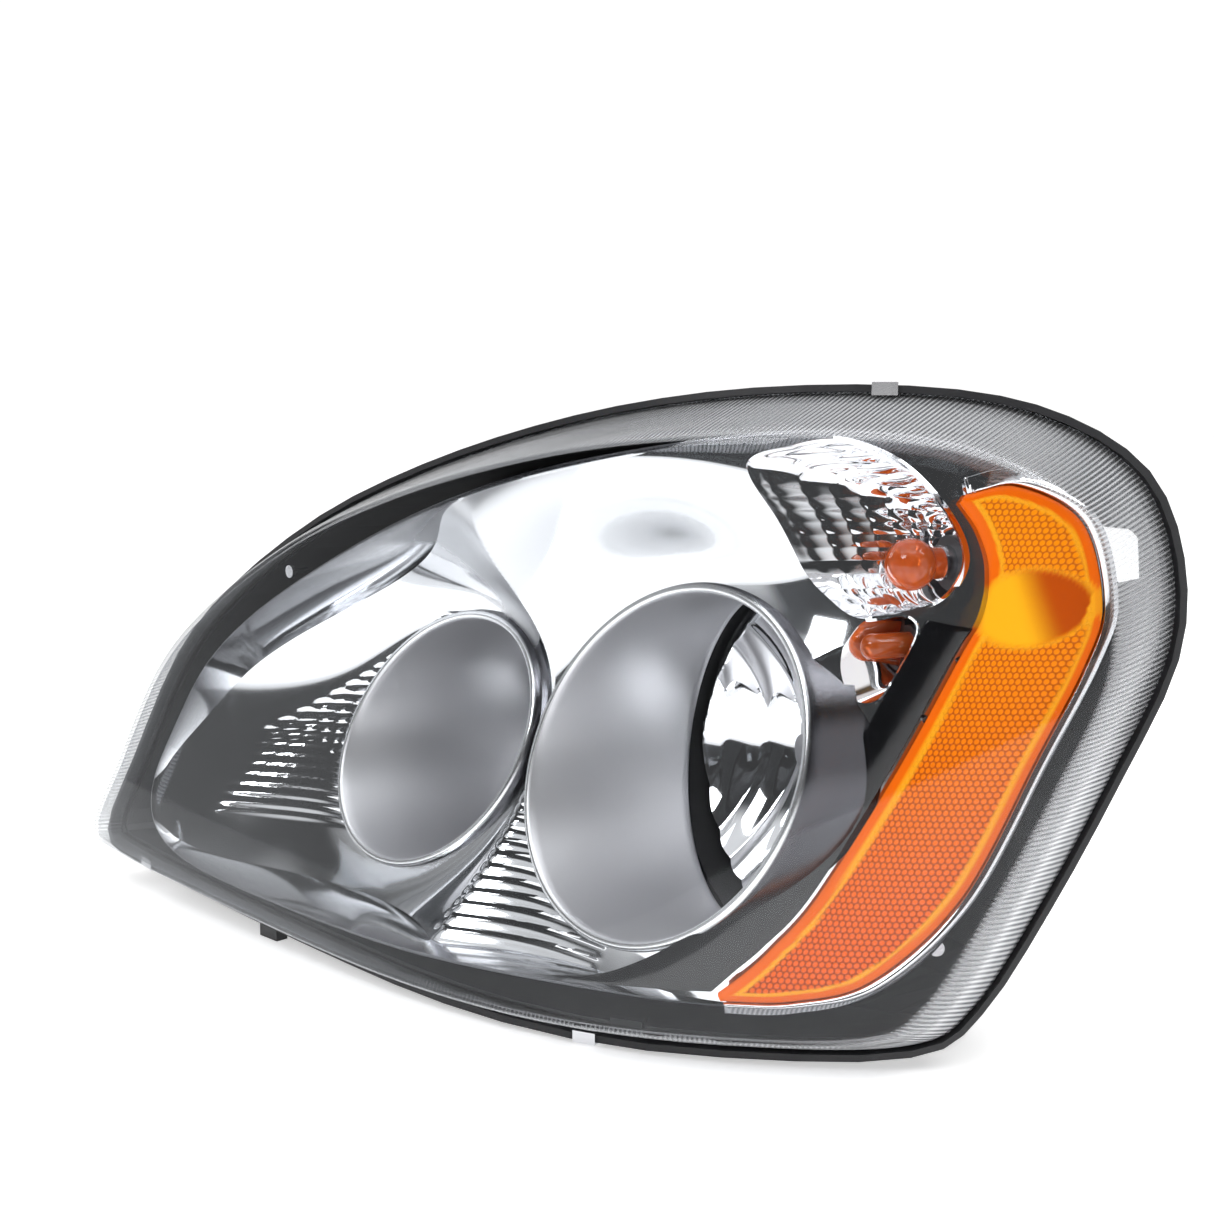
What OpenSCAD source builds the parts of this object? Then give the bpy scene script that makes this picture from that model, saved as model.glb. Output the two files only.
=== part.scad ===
// Wrap-round lamp assembly with two round beams, turn signal and side reflector.
// Front faces -Y, outboard end is +X, up is +Z, lengths in millimetres.

/* [Sweep] */
// X of the inboard tip of the outer lens at beam height
tip_x = -256; // [-300:1:-220]
// Y of the inboard tip of the outer lens at beam height
tip_y = -244; // [-280:1:-200]
// Height at which the sweep is measured
level_z = 149; // [140:1:152]
// How far the lens leans back for each millimetre of height
rake = 0.25; // [0.2:0.01:0.3]

/* [Lens] */
// Wall thickness of the outer lens
lens_wall = 3; // [2.5:0.5:4]
// How far the lens rim lies behind the lens face
rim_depth = 44; // [40:1:48]
// Fraction of the face that is flat before the edge rolls back
face_part = 0.88; // [0.84:0.01:0.92]

/* [Bezel] */
// How far the chrome bezel's edge lies behind the lens face
bezel_depth = 32; // [28:1:36]
// Wall thickness of the bezel
bezel_wall = 2.5; // [2:0.5:3]

/* [Low beam] */
// X of the low beam axis
low_x = 117; // [108:1:118]
// Height of the low beam axis
low_z = 142; // [135:1:143]
// Inner radius of the low beam barrel
low_r = 92; // [88:1:94]
// Y of the low beam barrel's front plane at its axis
low_front_y = 17; // [12:1:24]
// Y of the low beam barrel's rear edge at its axis
low_rear_y = 76; // [72:1:80]

/* [High beam] */
// X of the high beam axis
high_x = -63; // [-70:1:-62]
// Height of the high beam axis
high_z = 126; // [118:1:128]
// Inner radius of the high beam barrel
high_r = 73; // [70:1:75]
// Y of the high beam barrel's front plane at its axis
high_front_y = -58; // [-62:1:-50]
// Y of the high beam barrel's rear edge
high_rear_y = 30; // [26:1:34]

/* [Turn and marker] */
// Centre of the turn bulb's globe
turn_x = 201; // [195:1:207]
// Height of the turn bulb
turn_z = 255; // [249:1:255]
// Y of the turn bulb's globe
turn_y = 118; // [116:1:122]
// Radius of the turn bulb's globe
globe_r = 13.25; // [12:0.25:14]
// X of the marker bulb
marker_x = 199; // [196:1:202]
// Height of the marker bulb
marker_z = 214; // [212:1:216]
// Y of the marker bulb's middle
marker_y = 105; // [103:1:109]

/* [Housing] */
// Y of the housing's flat back, inside
back_y = 179; // [176:1:186]
// Wall thickness of the housing
housing_wall = 3; // [2.5:0.5:4]

/* [Aim] */
// Y of the aim pivots
pivot_y = 129; // [126:1:134]
// Height of the aim pivots
pivot_z = 142; // [136:1:142]
// X of the aim adjuster
adjust_x = 19; // [10:1:20]
// How far the adjuster lies below the pivots
adjust_drop = 80; // [76:1:84]

/* [Hidden] */
$fn = 48;

// The lens in plan is a chain of arcs: arc length from the tip, and heading there
sweep_s = [0, 300, 430, 560, 700, 860];
sweep_h = [22, 26, 37, 58, 71, 74];
// Outlines as points of arc length along the sweep and height
rim_outline = [[0, 33], [14, 83], [42, 158], [90, 208], [170, 258], [258, 293], [345, 317], [430, 333],
    [515, 340], [600, 338], [660, 325], [708, 299], [736, 257], [746, 208], [732, 148], [712, 83],
    [690, 31], [660, 11], [560, 7], [420, 7], [290, 12], [150, 18], [40, 23]];
bezel_outline = [[54, 75], [66, 117], [88, 160], [130, 197], [200, 237], [272, 269], [350, 293],
    [440, 311], [520, 320], [595, 316], [655, 296], [692, 265], [706, 218], [694, 163], [668, 88],
    [648, 55], [610, 34], [540, 32], [450, 33], [330, 30], [220, 30], [120, 34], [70, 48]];
amber_outer_side = [[615, 291], [640, 295], [677, 278], [698, 238], [697, 209], [684, 163], [663, 93],
    [628, 51], [590, 39], [553, 37]];
amber_inner_side = [[613, 287], [626, 273], [636, 255], [639, 233], [632, 210], [614, 153], [589, 90],
    [572, 64], [561, 51], [550, 41]];
band_left_side = [[612, 229], [600, 192], [590, 158], [567, 106], [531, 69], [490, 45], [450, 37]];
band_right_side = [[636, 225], [629, 209], [611, 153], [586, 90], [568, 64], [556, 51], [546, 40]];
outline_steps = 3;
outline_middle = [370, 168];
low_slope = [0.38, 0.34];
high_slope = [0.44, 0.45];
low_rear_tilt = 0.16;
barrel_wall = 2.5;
gap = 6;
low_focus = 30;
high_focus = 25;
reflector_wall = 2.5;
low_vertex = low_rear_y + gap + low_r * low_r / (4 * low_focus);
high_vertex = high_rear_y + gap + high_r * high_r / (4 * high_focus);
neck_r = 20;
bulb_bore = 11;
fit = 0.06;
low_cap_r = 44;
high_cap_r = 40;
collar_out = back_y + housing_wall + 16;
turn_vertex = turn_y + 34;
turn_focus = 7;
marker_vertex = marker_y + 20;
socket_r = 14;
rod_r = 4;
ball_r = 5;
pivot_left = -118;
pivot_right = 204;
adjust_z = pivot_z - adjust_drop;
ear_spots = [[-56, 193], [144, 288], [184, 83], [-76, 63]];
ear_out = back_y + housing_wall + 14;
insert_r = 4;
vent_spots = [[44, 268], [-16, 88]];
inlet_spot = [76, 60];
foot_spots = [-36, 144];
front_feet = [200, 500];
clip_spots = [[562, 340, 0], [476, 7, 180], [60, 23, 190]];
peg_spots = [[634, 209], [623, 180], [686, 210], [600, 107], [641, 76]];

function seg(s, i = 0) = i < len(sweep_s) - 2 && s > sweep_s[i + 1] ? seg(s, i + 1) : i;
function turn_radius(i) = (sweep_s[i + 1] - sweep_s[i]) / (sweep_h[i + 1] - sweep_h[i]) * 180 / PI;
function knot(i) = i == 0 ? [tip_x, tip_y] : knot(i - 1) + turn_radius(i - 1)
    * [sin(sweep_h[i]) - sin(sweep_h[i - 1]), cos(sweep_h[i - 1]) - cos(sweep_h[i])];
knots = [for (i = [0 : len(sweep_s) - 2]) knot(i)];
function heading(s) = let (i = seg(s)) sweep_h[i] + (s - sweep_s[i]) / turn_radius(i) * 180 / PI;
function plan(s) = let (i = seg(s), h = heading(s)) knots[i] + turn_radius(i)
    * [sin(h) - sin(sweep_h[i]), cos(sweep_h[i]) - cos(h)];
// A point behind the lens face, from arc length, height and depth
function behind(s, z, depth) = let (h = heading(s), p = plan(s))
    [p[0] - depth * sin(h), p[1] + depth * cos(h) + rake * (z - level_z), z];

function spline(a, b, c, d, t) = 0.5 * (2 * b + (c - a) * t + (2 * a - 5 * b + 4 * c - d) * t * t
    + (3 * b - a - 3 * c + d) * t * t * t);
function rounded(points, steps = outline_steps) = let (n = len(points)) [for (i = [0 : n - 1], k = [0 :
    steps - 1])
    spline(points[(i + n - 1) % n], points[i], points[(i + 1) % n], points[(i + 2) % n], k / steps)];
function unit(v) = v / norm(v);
// Moves a closed outline inwards along its own normals
function inset(points, d) = let (n = len(points)) [for (i = [0 : n - 1])
    let (t = unit(points[(i + 1) % n] - points[(i + n - 1) % n])) points[i] + d * [t[1], -t[0]]];

rim = rounded(rim_outline);
bezel_edge = rounded(bezel_outline);

function flatten(rows) = [for (row = rows, p = row) p];
// Closed solid from rings of equal length whose last ring meets the first
module ring_solid(rings) {
    m = len(rings);
    n = len(rings[0]);
    polyhedron(points = flatten(rings), convexity = 8, faces = [for (k = [0 : m - 1], j = [0 : n - 1])
        let (a = k * n + j, b = k * n + (j + 1) % n, c = (k + 1) % m * n + (j + 1) % n, d = (k + 1) % m *
            n + j)
        each [[a, b, c], [a, c, d]]]);
}
// Closed sheet from rings that shrink to a middle point, given its front and back rings
module sheet_solid(front, back) {
    m = len(front);
    n = len(front[0]);
    middle_front = middle(front[m - 1]);
    middle_back = middle(back[m - 1]);
    rows = concat([middle_front], flatten([for (k = [m - 1 : -1 : 0]) front[k]]), flatten(back),
        [middle_back]);
    last = 2 * m * n + 1;
    polyhedron(points = rows, convexity = 8, faces = concat(
        [for (j = [0 : n - 1]) [0, 1 + j, 1 + (j + 1) % n]],
        [for (k = [0 : 2 * m - 2], j = [0 : n - 1])
            let (a = 1 + k * n + j, b = 1 + k * n + (j + 1) % n, c = b + n, d = a + n) each [[a, d, c],
                [a, c, b]]],
        [for (j = [0 : n - 1]) [last, last - n + (j + 1) % n, last - n + j]]));
}
function middle(ring, i = 0, sum = [0, 0, 0]) = i == len(ring) ? sum / len(ring)
    : middle(ring, i + 1, sum + ring[i]);
function towards(outline, t) = [for (p = outline) outline_middle + (p - outline_middle) * t];

module along_y(x, y, z) {
    translate([x, y, z]) rotate([-90, 0, 0]) children();
}
module rod(r, length) {
    cylinder(r = r, h = length);
}
module tube(inner, outer, length) {
    difference() {
        cylinder(r = outer, h = length);
        translate([0, 0, -1]) cylinder(r = inner, h = length + 2);
    }
}
// All that lies in front of a plane through the origin with these slopes
module before_plane(slope_x, slope_z) {
    rotate([-asin(slope_z / norm([slope_x, 1, slope_z])), 0, atan(slope_x)])
        translate([-250, -500, -250]) cube(500);
}
module barrel(x, z, r, front_y, slope, rear_y, rear_tilt) {
    difference() {
        along_y(x, front_y - 90, z) tube(r, r + barrel_wall, rear_y - front_y + 130);
        translate([x, front_y, z]) before_plane(slope[0], slope[1]);
        translate([x, rear_y, z]) rotate([0, 0, 180]) before_plane(0, -rear_tilt);
    }
}
// Parabolic dish that opens towards -Y, with a straight neck behind it
module dish(r, focus, wall, neck, hole, neck_length) {
    steps = 14;
    inner = [for (i = [0 : steps]) let (q = hole + (r - hole) * i / steps) [q, -q * q / (4 * focus)]];
    outer = [for (i = [steps : -1 : 0]) let (q = neck + (r - neck) * i / steps)
        [q + wall * 0.7, -q * q / (4 * focus) + wall]];
    rotate_extrude() polygon(concat(inner, outer, [[neck, neck_length], [hole, neck_length]]));
}

// ---- casing ----
function roll(t) = t <= face_part ? 0 : let (q = (t - face_part) / (1 - face_part)) 1.15 * q * q / (q + 0.15);
lens_rows = [1, 0.96, 0.92, 0.9, face_part, 0.7, 0.45, 0.2];
module outer_lens() {
    front = [for (t = lens_rows) [for (p = towards(rim, t)) behind(p[0], p[1], rim_depth * roll(t))]];
    back = [for (t = lens_rows) [for (p = towards(rim, t * 0.985))
        behind(p[0], p[1], t == 1 ? rim_depth : lens_wall + rim_depth * roll(t) * 0.92)]];
    color([0.9, 0.92, 0.95, 0.35]) sheet_solid(front, back);
}
module band(outline, near, far, front, back) {
    outer = inset(outline, near);
    inner = inset(outline, far);
    ring_solid([[for (p = inner) behind(p[0], p[1], front)], [for (p = inner) behind(p[0], p[1], back)],
        [for (p = outer) behind(p[0], p[1], back)], [for (p = outer) behind(p[0], p[1], front)]]);
}
module lens_seal() {
    color([0.12, 0.12, 0.13]) band(rim, 0.3, 3.5, rim_depth + 0.2, rim_depth + 3);
}
lip = 4;
lip_front = rim_depth - 6;
channel = rim_depth + 3.2;
// The housing's back has the rim's own outline, drawn in towards the outboard end
function back_point(p) = [221 - 0.707 * (247 - p[0]), max(back_y + housing_wall, p[1] + 9), 158 + 0.82 *
    (p[2] - 153)];
function bowl_point(p, turn, wall) = let (b = back_point(p), d = [p[0] - b[0], p[2] - b[2]], w = norm(d),
    l = b[1] - p[1], n = unit([l * cos(turn) * d[0] / w, w * sin(turn), l * cos(turn) * d[1] / w]))
    [b[0] + d[0] * cos(turn), p[1] + l * sin(turn), b[2] + d[1] * cos(turn)] - wall * n;
function back_row(seat, t, wall) = let (b = [for (p = seat) back_point(p)], c = [24, 0, 153])
    [for (q = b) [c[0] + (q[0] - c[0]) * t, (t == 1 ? q[1] : back_y + housing_wall) - wall, c[2] + (q[2]
        - c[2]) * t]];
module housing() {
    rim_seat = [for (p = rim) behind(p[0], p[1], rim_depth + 8)];
    turns = [30, 60, 88];
    outer = concat([for (depth = [lip_front, rim_depth + 6]) [for (p = inset(rim, -lip)) behind(p[0],
        p[1], depth)]],
        [rim_seat], [for (turn = turns) [for (p = rim_seat) bowl_point(p, turn, 0)]],
        [for (t = [0.97, 0.5]) back_row(rim_seat, t, 0)]);
    inner = concat([for (depth = [lip_front, channel]) [for (p = inset(rim, -0.4)) behind(p[0], p[1],
        depth)]],
        [[for (p = inset(rim, 5)) behind(p[0], p[1], channel)]],
        [for (turn = turns) [for (p = rim_seat) bowl_point(p, turn, housing_wall)]],
        [for (t = [0.95, 0.48]) back_row(rim_seat, t, housing_wall)]);
    color([0.09, 0.09, 0.1]) difference() {
        sheet_solid(inner, outer);
        for (c = collars) along_y(c[0], back_y - 12, c[1]) rod(c[3], 80);
        along_y(adjust_x, back_y - 12, adjust_z) rod(rod_r + 4, 80);
    }
}
// X, height, inner radius and outer radius of each collar on the back
collars = [[low_x, low_z, low_cap_r, low_cap_r + 5], [high_x, high_z, high_cap_r, high_cap_r + 5],
    [turn_x, turn_z, socket_r + fit, socket_r + 4], [marker_x, marker_z, 10 + fit, 14]];
module cap_collars() {
    color([0.1, 0.1, 0.11]) for (c = collars) along_y(c[0], back_y - 2, c[1]) tube(c[2], c[3], collar_out
        - back_y + 2);
}
module mounting_ears() {
    color([0.1, 0.1, 0.11]) for (e = ear_spots) along_y(e[0], back_y + housing_wall, e[1]) difference() {
        union() {
            rod(10, ear_out - back_y - housing_wall);
            rod(14, 2);
            for (turn = [45, 135]) rotate(turn) translate([-14, -1.25, 0]) cube([28, 2.5, 8]);
        }
        translate([0, 0, 2]) rod(insert_r + 2, 30);
    }
}
module mount_inserts() {
    color("goldenrod") for (e = ear_spots) along_y(e[0], back_y + housing_wall + 2, e[1])
        tube(insert_r, insert_r + 2, ear_out - back_y - housing_wall - 2);
}
module rest_feet() {
    color([0.1, 0.1, 0.11]) {
        for (x = foot_spots) {
            translate([x - 10, back_y + housing_wall, 0]) cube([20, 6, 64]);
            translate([x - 10, back_y - 16, 0]) cube([20, 28, 5]);
        }
        for (foot = front_feet) translate(behind(foot, 0, rim_depth)) rotate(heading(foot))
            translate([-9, 3.5, 0])
            cube([18, 8, 14]);
    }
}
module lens_clips() {
    color("silver") for (c = clip_spots)
        translate(behind(c[0], c[1], lip_front)) rotate([0, c[2], heading(c[0])]) {
            translate([-6.5, -2, lip + 0.6]) cube([13, 18, 1]);
            translate([-6.5, -2, -1]) cube([13, 1, lip + 1.8]);
        }
}

// ---- bezel and trims ----
function edge_pull(p, x, z, r, front_y, slope, reach) = let (d = [p[0] - x, p[2] - z], far = max(norm(d), 1),
    away = far - r, q = min(max(away / reach, 0), 1), y = front_y + (slope[0] * d[0] + slope[1] * d[1]) *
        r / far)
    max(0, y + 1 - p[1]) * (1 - q) * (1 - q) * (1 + 2 * q);
function scooped(p) = p + [0, max(edge_pull(p, low_x, low_z, low_r, low_front_y, low_slope, 70),
    edge_pull(p, high_x, high_z, high_r, high_front_y, high_slope, 90)), 0];
bezel_rows = [1, 0.95, 0.88, 0.8, 0.7, 0.6, 0.5, 0.4, 0.25, 0.1];
module bezel() {
    front = [for (t = bezel_rows) [for (p = towards(bezel_edge, t)) scooped(behind(p[0], p[1],
        bezel_depth))]];
    back = [for (row = front) [for (p = row) p + [-bezel_wall * 0.5, bezel_wall * 1.1, 0]]];
    color([0.8, 0.81, 0.83]) difference() {
        sheet_solid(front, back);
        along_y(low_x, -300, low_z) rod(low_r + barrel_wall + 0.3, 700);
        along_y(high_x, -300, high_z) rod(high_r + barrel_wall + 0.3, 700);
        along_y(turn_x, turn_vertex, turn_z) dish_body(52, turn_focus, 2.6);
        along_y(marker_x, 0, marker_z) rod(21.5, 200);
    }
}
module dish_body(r, focus, grow) {
    steps = 10;
    rotate_extrude() polygon(concat([[0, grow * 2]], [for (i = [0 : steps]) let (q = r * i / steps)
        [q + grow, -q * q / (4 * focus) + grow]], [[r + grow, -200], [0, -200]]));
}
screw_spots = [[150, 225], [480, 315], [660, 63]];
module bezel_screws() {
    color("silver") for (s = screw_spots) translate(behind(s[0], s[1], bezel_depth + bezel_wall + 2.5))
        rotate([-90, 0, heading(s[0])]) {
            rod(4, 2.5);
            rod(1.6, 14);
        }
}
// Closed slab from a front grid and a back grid of the same size
module slab(front, back) {
    m = len(front);
    n = len(front[0]);
    half = m * n;
    edge = concat([for (j = [0 : n - 2]) [j, j + 1]], [for (i = [0 : m - 2]) [i * n + n - 1, (i + 1) * n
        + n - 1]],
        [for (j = [n - 1 : -1 : 1]) [(m - 1) * n + j, (m - 1) * n + j - 1]],
        [for (i = [m - 1 : -1 : 1]) [i * n, (i - 1) * n]]);
    polyhedron(points = concat(flatten(front), flatten(back)), convexity = 8, faces = concat(
        [for (i = [0 : m - 2], j = [0 : n - 2]) let (a = i * n + j, b = a + 1, c = b + n, d = a + n) each
            [[a, b, c], [a, c, d]]],
        [for (i = [0 : m - 2], j = [0 : n - 2]) let (a = half + i * n + j, b = a + 1, c = b + n, d = a + n)
            each [[a, c, b], [a, d, c]]],
        [for (e = edge) each [[e[1], e[0], half + e[0]], [e[1], half + e[0], half + e[1]]]]));
}
function open_curve(points, steps) = let (n = len(points), e = concat([2 * points[0] - points[1]], points,
    [2 * points[n - 1] - points[n - 2]])) concat([for (i = [1 : n - 1], k = [0 : steps - 1])
    spline(e[i - 1], e[i], e[i + 1], e[i + 2], k / steps)], [points[n - 1]]);
function grid_between(left, right, columns, depth) = [for (i = [0 : len(left) - 1]) [for (k = [0 : columns])
    let (p = left[i] + (right[i] - left[i]) * k / columns) behind(p[0], p[1], depth)]];
module strip(left, right, steps, columns, front, back) {
    l = open_curve(left, steps);
    r = open_curve(right, steps);
    slab(grid_between(l, r, columns, front), grid_between(l, r, columns, back));
}
module amber_reflector() {
    color([0.95, 0.45, 0.05]) strip(amber_inner_side, amber_outer_side, 4, 5, bezel_depth - 10,
        bezel_depth - 6);
}
module reflector_pegs() {
    color([0.1, 0.08, 0.06]) for (p = peg_spots) translate(behind(p[0], p[1], bezel_depth - 6))
        rotate([-90, 0, heading(p[0])]) rod(1.6, 5.5);
}
module black_trim() {
    color([0.03, 0.03, 0.035]) difference() {
        strip(band_left_side, band_right_side, 4, 4, bezel_depth - 5, bezel_depth - 1);
        along_y(low_x, -300, low_z) rod(low_r + barrel_wall + 0.3, 700);
    }
}
module chrome_trim() {
    near = [for (p = amber_outer_side) outline_middle + (p - outline_middle) * 1.006];
    far = [for (p = amber_outer_side) outline_middle + (p - outline_middle) * 1.022];
    color([0.85, 0.86, 0.88]) strip(near, far, 4, 1, bezel_depth - 9, bezel_depth - 1);
}

// ---- beams ----
module low_beam_barrel() {
    color([0.62, 0.63, 0.65]) barrel(low_x, low_z, low_r, low_front_y, low_slope, low_rear_y, low_rear_tilt);
}
module high_beam_barrel() {
    color([0.62, 0.63, 0.65]) barrel(high_x, high_z, high_r, high_front_y, high_slope, high_rear_y, 0);
}
module beam_reflector(x, z, r, focus, vertex, front_y, tilt) {
    difference() {
        along_y(x, vertex, z) dish(r, focus, reflector_wall, neck_r, bulb_bore + fit, 12);
        translate([x, front_y, z]) before_plane(0, tilt);
    }
}
module low_beam_reflector() {
    color([0.86, 0.87, 0.89]) beam_reflector(low_x, low_z, low_r - 2, low_focus, low_vertex, low_rear_y +
        gap, low_rear_tilt);
}
module high_beam_reflector() {
    color([0.86, 0.87, 0.89]) beam_reflector(high_x, high_z, high_r, high_focus, high_vertex, high_rear_y
        + gap, 0);
}
low_ring_y = low_vertex - 43;
high_ring_y = high_vertex - 28;
module ball_cup(x, z) {
    along_y(x, pivot_y - 8, z) difference() {
        rod(9, 13);
        translate([0, 0, 8]) sphere(ball_r + fit);
        translate([0, 0, 8]) rod(ball_r - 0.6, 20);
    }
}
module reflector_carrier() {
    color([0.2, 0.2, 0.21]) {
        along_y(low_x, low_ring_y, low_z) tube(75.5, 83, 7);
        along_y(high_x, high_ring_y, high_z) tube(56.5, 64, 7);
        ball_cup(pivot_left, pivot_z);
        ball_cup(pivot_right, pivot_z);
        ball_cup(adjust_x, adjust_z);
        arm([high_x + 61, high_ring_y + 3.5, high_z + 4], [low_x - 78, low_ring_y + 3.5, low_z]);
        arm([high_x - 61, high_ring_y + 3.5, high_z + 2], [pivot_left, pivot_y - 10, pivot_z]);
        arm([low_x + 79, low_ring_y + 3.5, low_z], [pivot_right, pivot_y - 10, pivot_z]);
        arm([low_x - 62, low_ring_y + 3.5, low_z - 50], [adjust_x, pivot_y - 10, adjust_z]);
    }
}
module arm(a, b) {
    hull() for (p = [a, b]) translate(p - [4, 3.5, 6]) cube([8, 7, 12]);
}
module bulb_glass(x, z, vertex, length) {
    color([0.85, 0.88, 0.92, 0.4]) along_y(x, vertex - length, z) {
        sphere(6);
        rod(6, length + 2);
    }
}
module bulb_base(x, z, vertex) {
    color([0.15, 0.15, 0.17]) along_y(x, vertex + 2, z) {
        rod(bulb_bore, 11);
        translate([0, 0, 10.5]) rod(17, 3);
        translate([0, 0, 13]) rod(12, 8);
        translate([-9, -5, 20]) cube([18, 10, 9]);
        for (turn = [0, 120, 240]) rotate(turn) translate([12, -3, 10.5]) cube([8, 6, 2.5]);
    }
}
module bulb_shield(x, z, vertex, length) {
    color([0.55, 0.56, 0.58]) along_y(x, vertex - length - 15, z) {
        tube(9, 10, 14);
        rod(10, 1);
        translate([0, 13, 6]) rod(1.2, length + 9.5);
        translate([-1.2, 9.5, 6]) cube([2.4, 3.5, 3]);
    }
}
module low_bulb_glass() {
    bulb_glass(low_x, low_z, low_vertex, 34);
}
module low_bulb_base() {
    bulb_base(low_x, low_z, low_vertex);
}
module low_bulb_shield() {
    bulb_shield(low_x, low_z, low_vertex, 34);
}
module high_bulb_glass() {
    bulb_glass(high_x, high_z, high_vertex, 28);
}
module high_bulb_base() {
    bulb_base(high_x, high_z, high_vertex);
}
module high_bulb_shield() {
    bulb_shield(high_x, high_z, high_vertex, 28);
}

// ---- turn signal and marker ----
turn_slope = [1.67, 0.25];
module turn_reflector() {
    color([0.85, 0.86, 0.88]) difference() {
        along_y(turn_x, turn_vertex, turn_z) dish(50, turn_focus, 1.8, socket_r + 3, socket_r + fit, 10);
        translate([turn_x, turn_y - 8, turn_z]) before_plane(turn_slope[0], turn_slope[1]);
        along_y(marker_x, 0, marker_z) rod(21.5, 200);
        along_y(low_x, -300, low_z) rod(low_r + barrel_wall + 0.3, 700);
    }
}
module turn_bulb_glass() {
    color([0.8, 0.3, 0.1, 0.6]) along_y(turn_x, turn_y, turn_z) {
        sphere(globe_r);
        rod(8.2, 18);
    }
}
module turn_bulb_base() {
    color("silver") along_y(turn_x, turn_y + 16, turn_z) difference() {
        rod(9, 14);
        translate([0, 0, -1]) rod(8.2, 8);
    }
}
module holder(x, z, y, r) {
    along_y(x, y, z) {
        rod(r, collar_out - y + 1);
        translate([0, 0, collar_out - y + 0.5]) rod(r + 3.5, 3);
        translate([0, 0, collar_out - y + 3]) rod(r - 3, 9);
        translate([-r - 1, -2, collar_out - y + 3]) cube([2 * r + 2, 4, 9]);
    }
}
module turn_socket() {
    color([0.18, 0.18, 0.19]) difference() {
        holder(turn_x, turn_z, turn_vertex - 12, socket_r);
        along_y(turn_x, turn_vertex - 13, turn_z) rod(9, 13);
    }
}
module turn_socket_seal() {
    color([0.75, 0.3, 0.1]) along_y(turn_x, collar_out + 0.1, turn_z) tube(socket_r, socket_r + 3, 0.4);
}
module marker_reflector() {
    color([0.85, 0.86, 0.88]) difference() {
        along_y(marker_x, marker_vertex, marker_z) dish(19, 3, 1.2, 12, 10 + fit, 8);
        translate([marker_x, marker_y - 11, marker_z]) before_plane(turn_slope[0], turn_slope[1]);
    }
}
module marker_bulb_glass() {
    color([0.8, 0.3, 0.1, 0.6]) along_y(marker_x, marker_y - 6, marker_z) {
        sphere(6.8);
        rod(6.8, 24);
    }
}
module marker_socket() {
    color([0.18, 0.18, 0.19]) difference() {
        holder(marker_x, marker_z, marker_vertex - 6, 10);
        along_y(marker_x, marker_vertex - 7, marker_z) rod(6.8, 6);
    }
}
module marker_socket_seal() {
    color([0.75, 0.3, 0.1]) along_y(marker_x, collar_out + 0.1, marker_z) tube(10, 13, 0.4);
}

// ---- aim gear ----
module pivot_studs() {
    color("silver") for (x = [pivot_left, pivot_right]) along_y(x, pivot_y, pivot_z) {
        sphere(ball_r);
        rod(3, back_y - pivot_y);
        translate([0, 0, back_y - pivot_y - 6]) rod(8, 6);
    }
}
knob_y = back_y + housing_wall + 8;
module adjuster_rod() {
    color("silver") along_y(adjust_x, pivot_y, adjust_z) {
        sphere(ball_r);
        rod(3, 14);
        translate([0, 0, 12]) rod(rod_r, knob_y - pivot_y + 12);
    }
}
module adjuster_bushing() {
    color([0.85, 0.85, 0.8]) along_y(adjust_x, back_y - 8, adjust_z) difference() {
        union() {
            rod(rod_r + 4, 18);
            translate([0, 0, 11 + 0.2]) rod(12, 7);
        }
        translate([0, 0, -1]) rod(rod_r + fit, 40);
    }
}
module adjuster_knob() {
    color([0.9, 0.9, 0.86]) along_y(adjust_x, back_y + 10.5, adjust_z) difference() {
        union() {
            rod(9, 14);
            for (turn = [0 : 30 : 330]) rotate(turn) translate([8, -1.2, 0]) cube([4, 2.4, 8]);
        }
        translate([0, 0, -1]) rod(rod_r + fit, 40);
    }
}

// ---- back fittings ----
module cap(x, z, r) {
    along_y(x, collar_out, z) {
        translate([0, 0, -12]) difference() {
            tube(r - 5, r - 0.5, 12.5);
            translate([0, 0, 4]) tube(r - 2, r + 1, 4);
        }
        translate([0, 0, 0.3]) rod(r + 4, 4);
        translate([0, 0, 4]) difference() {
            rod(r - 4, 8);
            translate([0, 0, 3]) rod(r - 8, 10);
        }
        translate([-r + 6, -4, 4]) cube([2 * r - 12, 8, 10]);
        for (turn = [0 : 30 : 330]) rotate(turn) translate([r + 2, -3, 0.3]) cube([4, 6, 4]);
    }
}
module cap_ring(x, z, r) {
    color([0.3, 0.3, 0.32]) along_y(x, collar_out - 7.9, z) tube(r - 2, r - 0.1, 3.8);
}
module low_cap() {
    color([0.12, 0.12, 0.13]) cap(low_x, low_z, low_cap_r);
}
module low_cap_seal() {
    cap_ring(low_x, low_z, low_cap_r);
}
module high_cap() {
    color([0.12, 0.12, 0.13]) cap(high_x, high_z, high_cap_r);
}
module high_cap_seal() {
    cap_ring(high_x, high_z, high_cap_r);
}
module vent_caps() {
    color([0.15, 0.15, 0.16]) for (v = vent_spots) along_y(v[0], back_y + housing_wall, v[1]) {
        rod(6, 8);
        translate([0, 0, 6]) rod(9, 5);
    }
}
module connector_inlet() {
    color([0.14, 0.14, 0.15]) along_y(inlet_spot[0], back_y + housing_wall, inlet_spot[1]) difference() {
        union() {
            translate([-20, -11, 0]) cube([40, 22, 3]);
            translate([-16, -9, 0]) cube([32, 18, 22]);
            translate([-4, 9, 10]) cube([8, 3, 8]);
        }
        translate([-14, -7, 5]) cube([28, 14, 30]);
    }
}
module connector_pins() {
    color("silver") along_y(inlet_spot[0], back_y + housing_wall, inlet_spot[1])
        for (x = [-9 : 6 : 9], z = [-3.5, 3.5]) translate([x - 0.6, z - 0.6, 4]) cube([1.2, 1.2, 8]);
}

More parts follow.
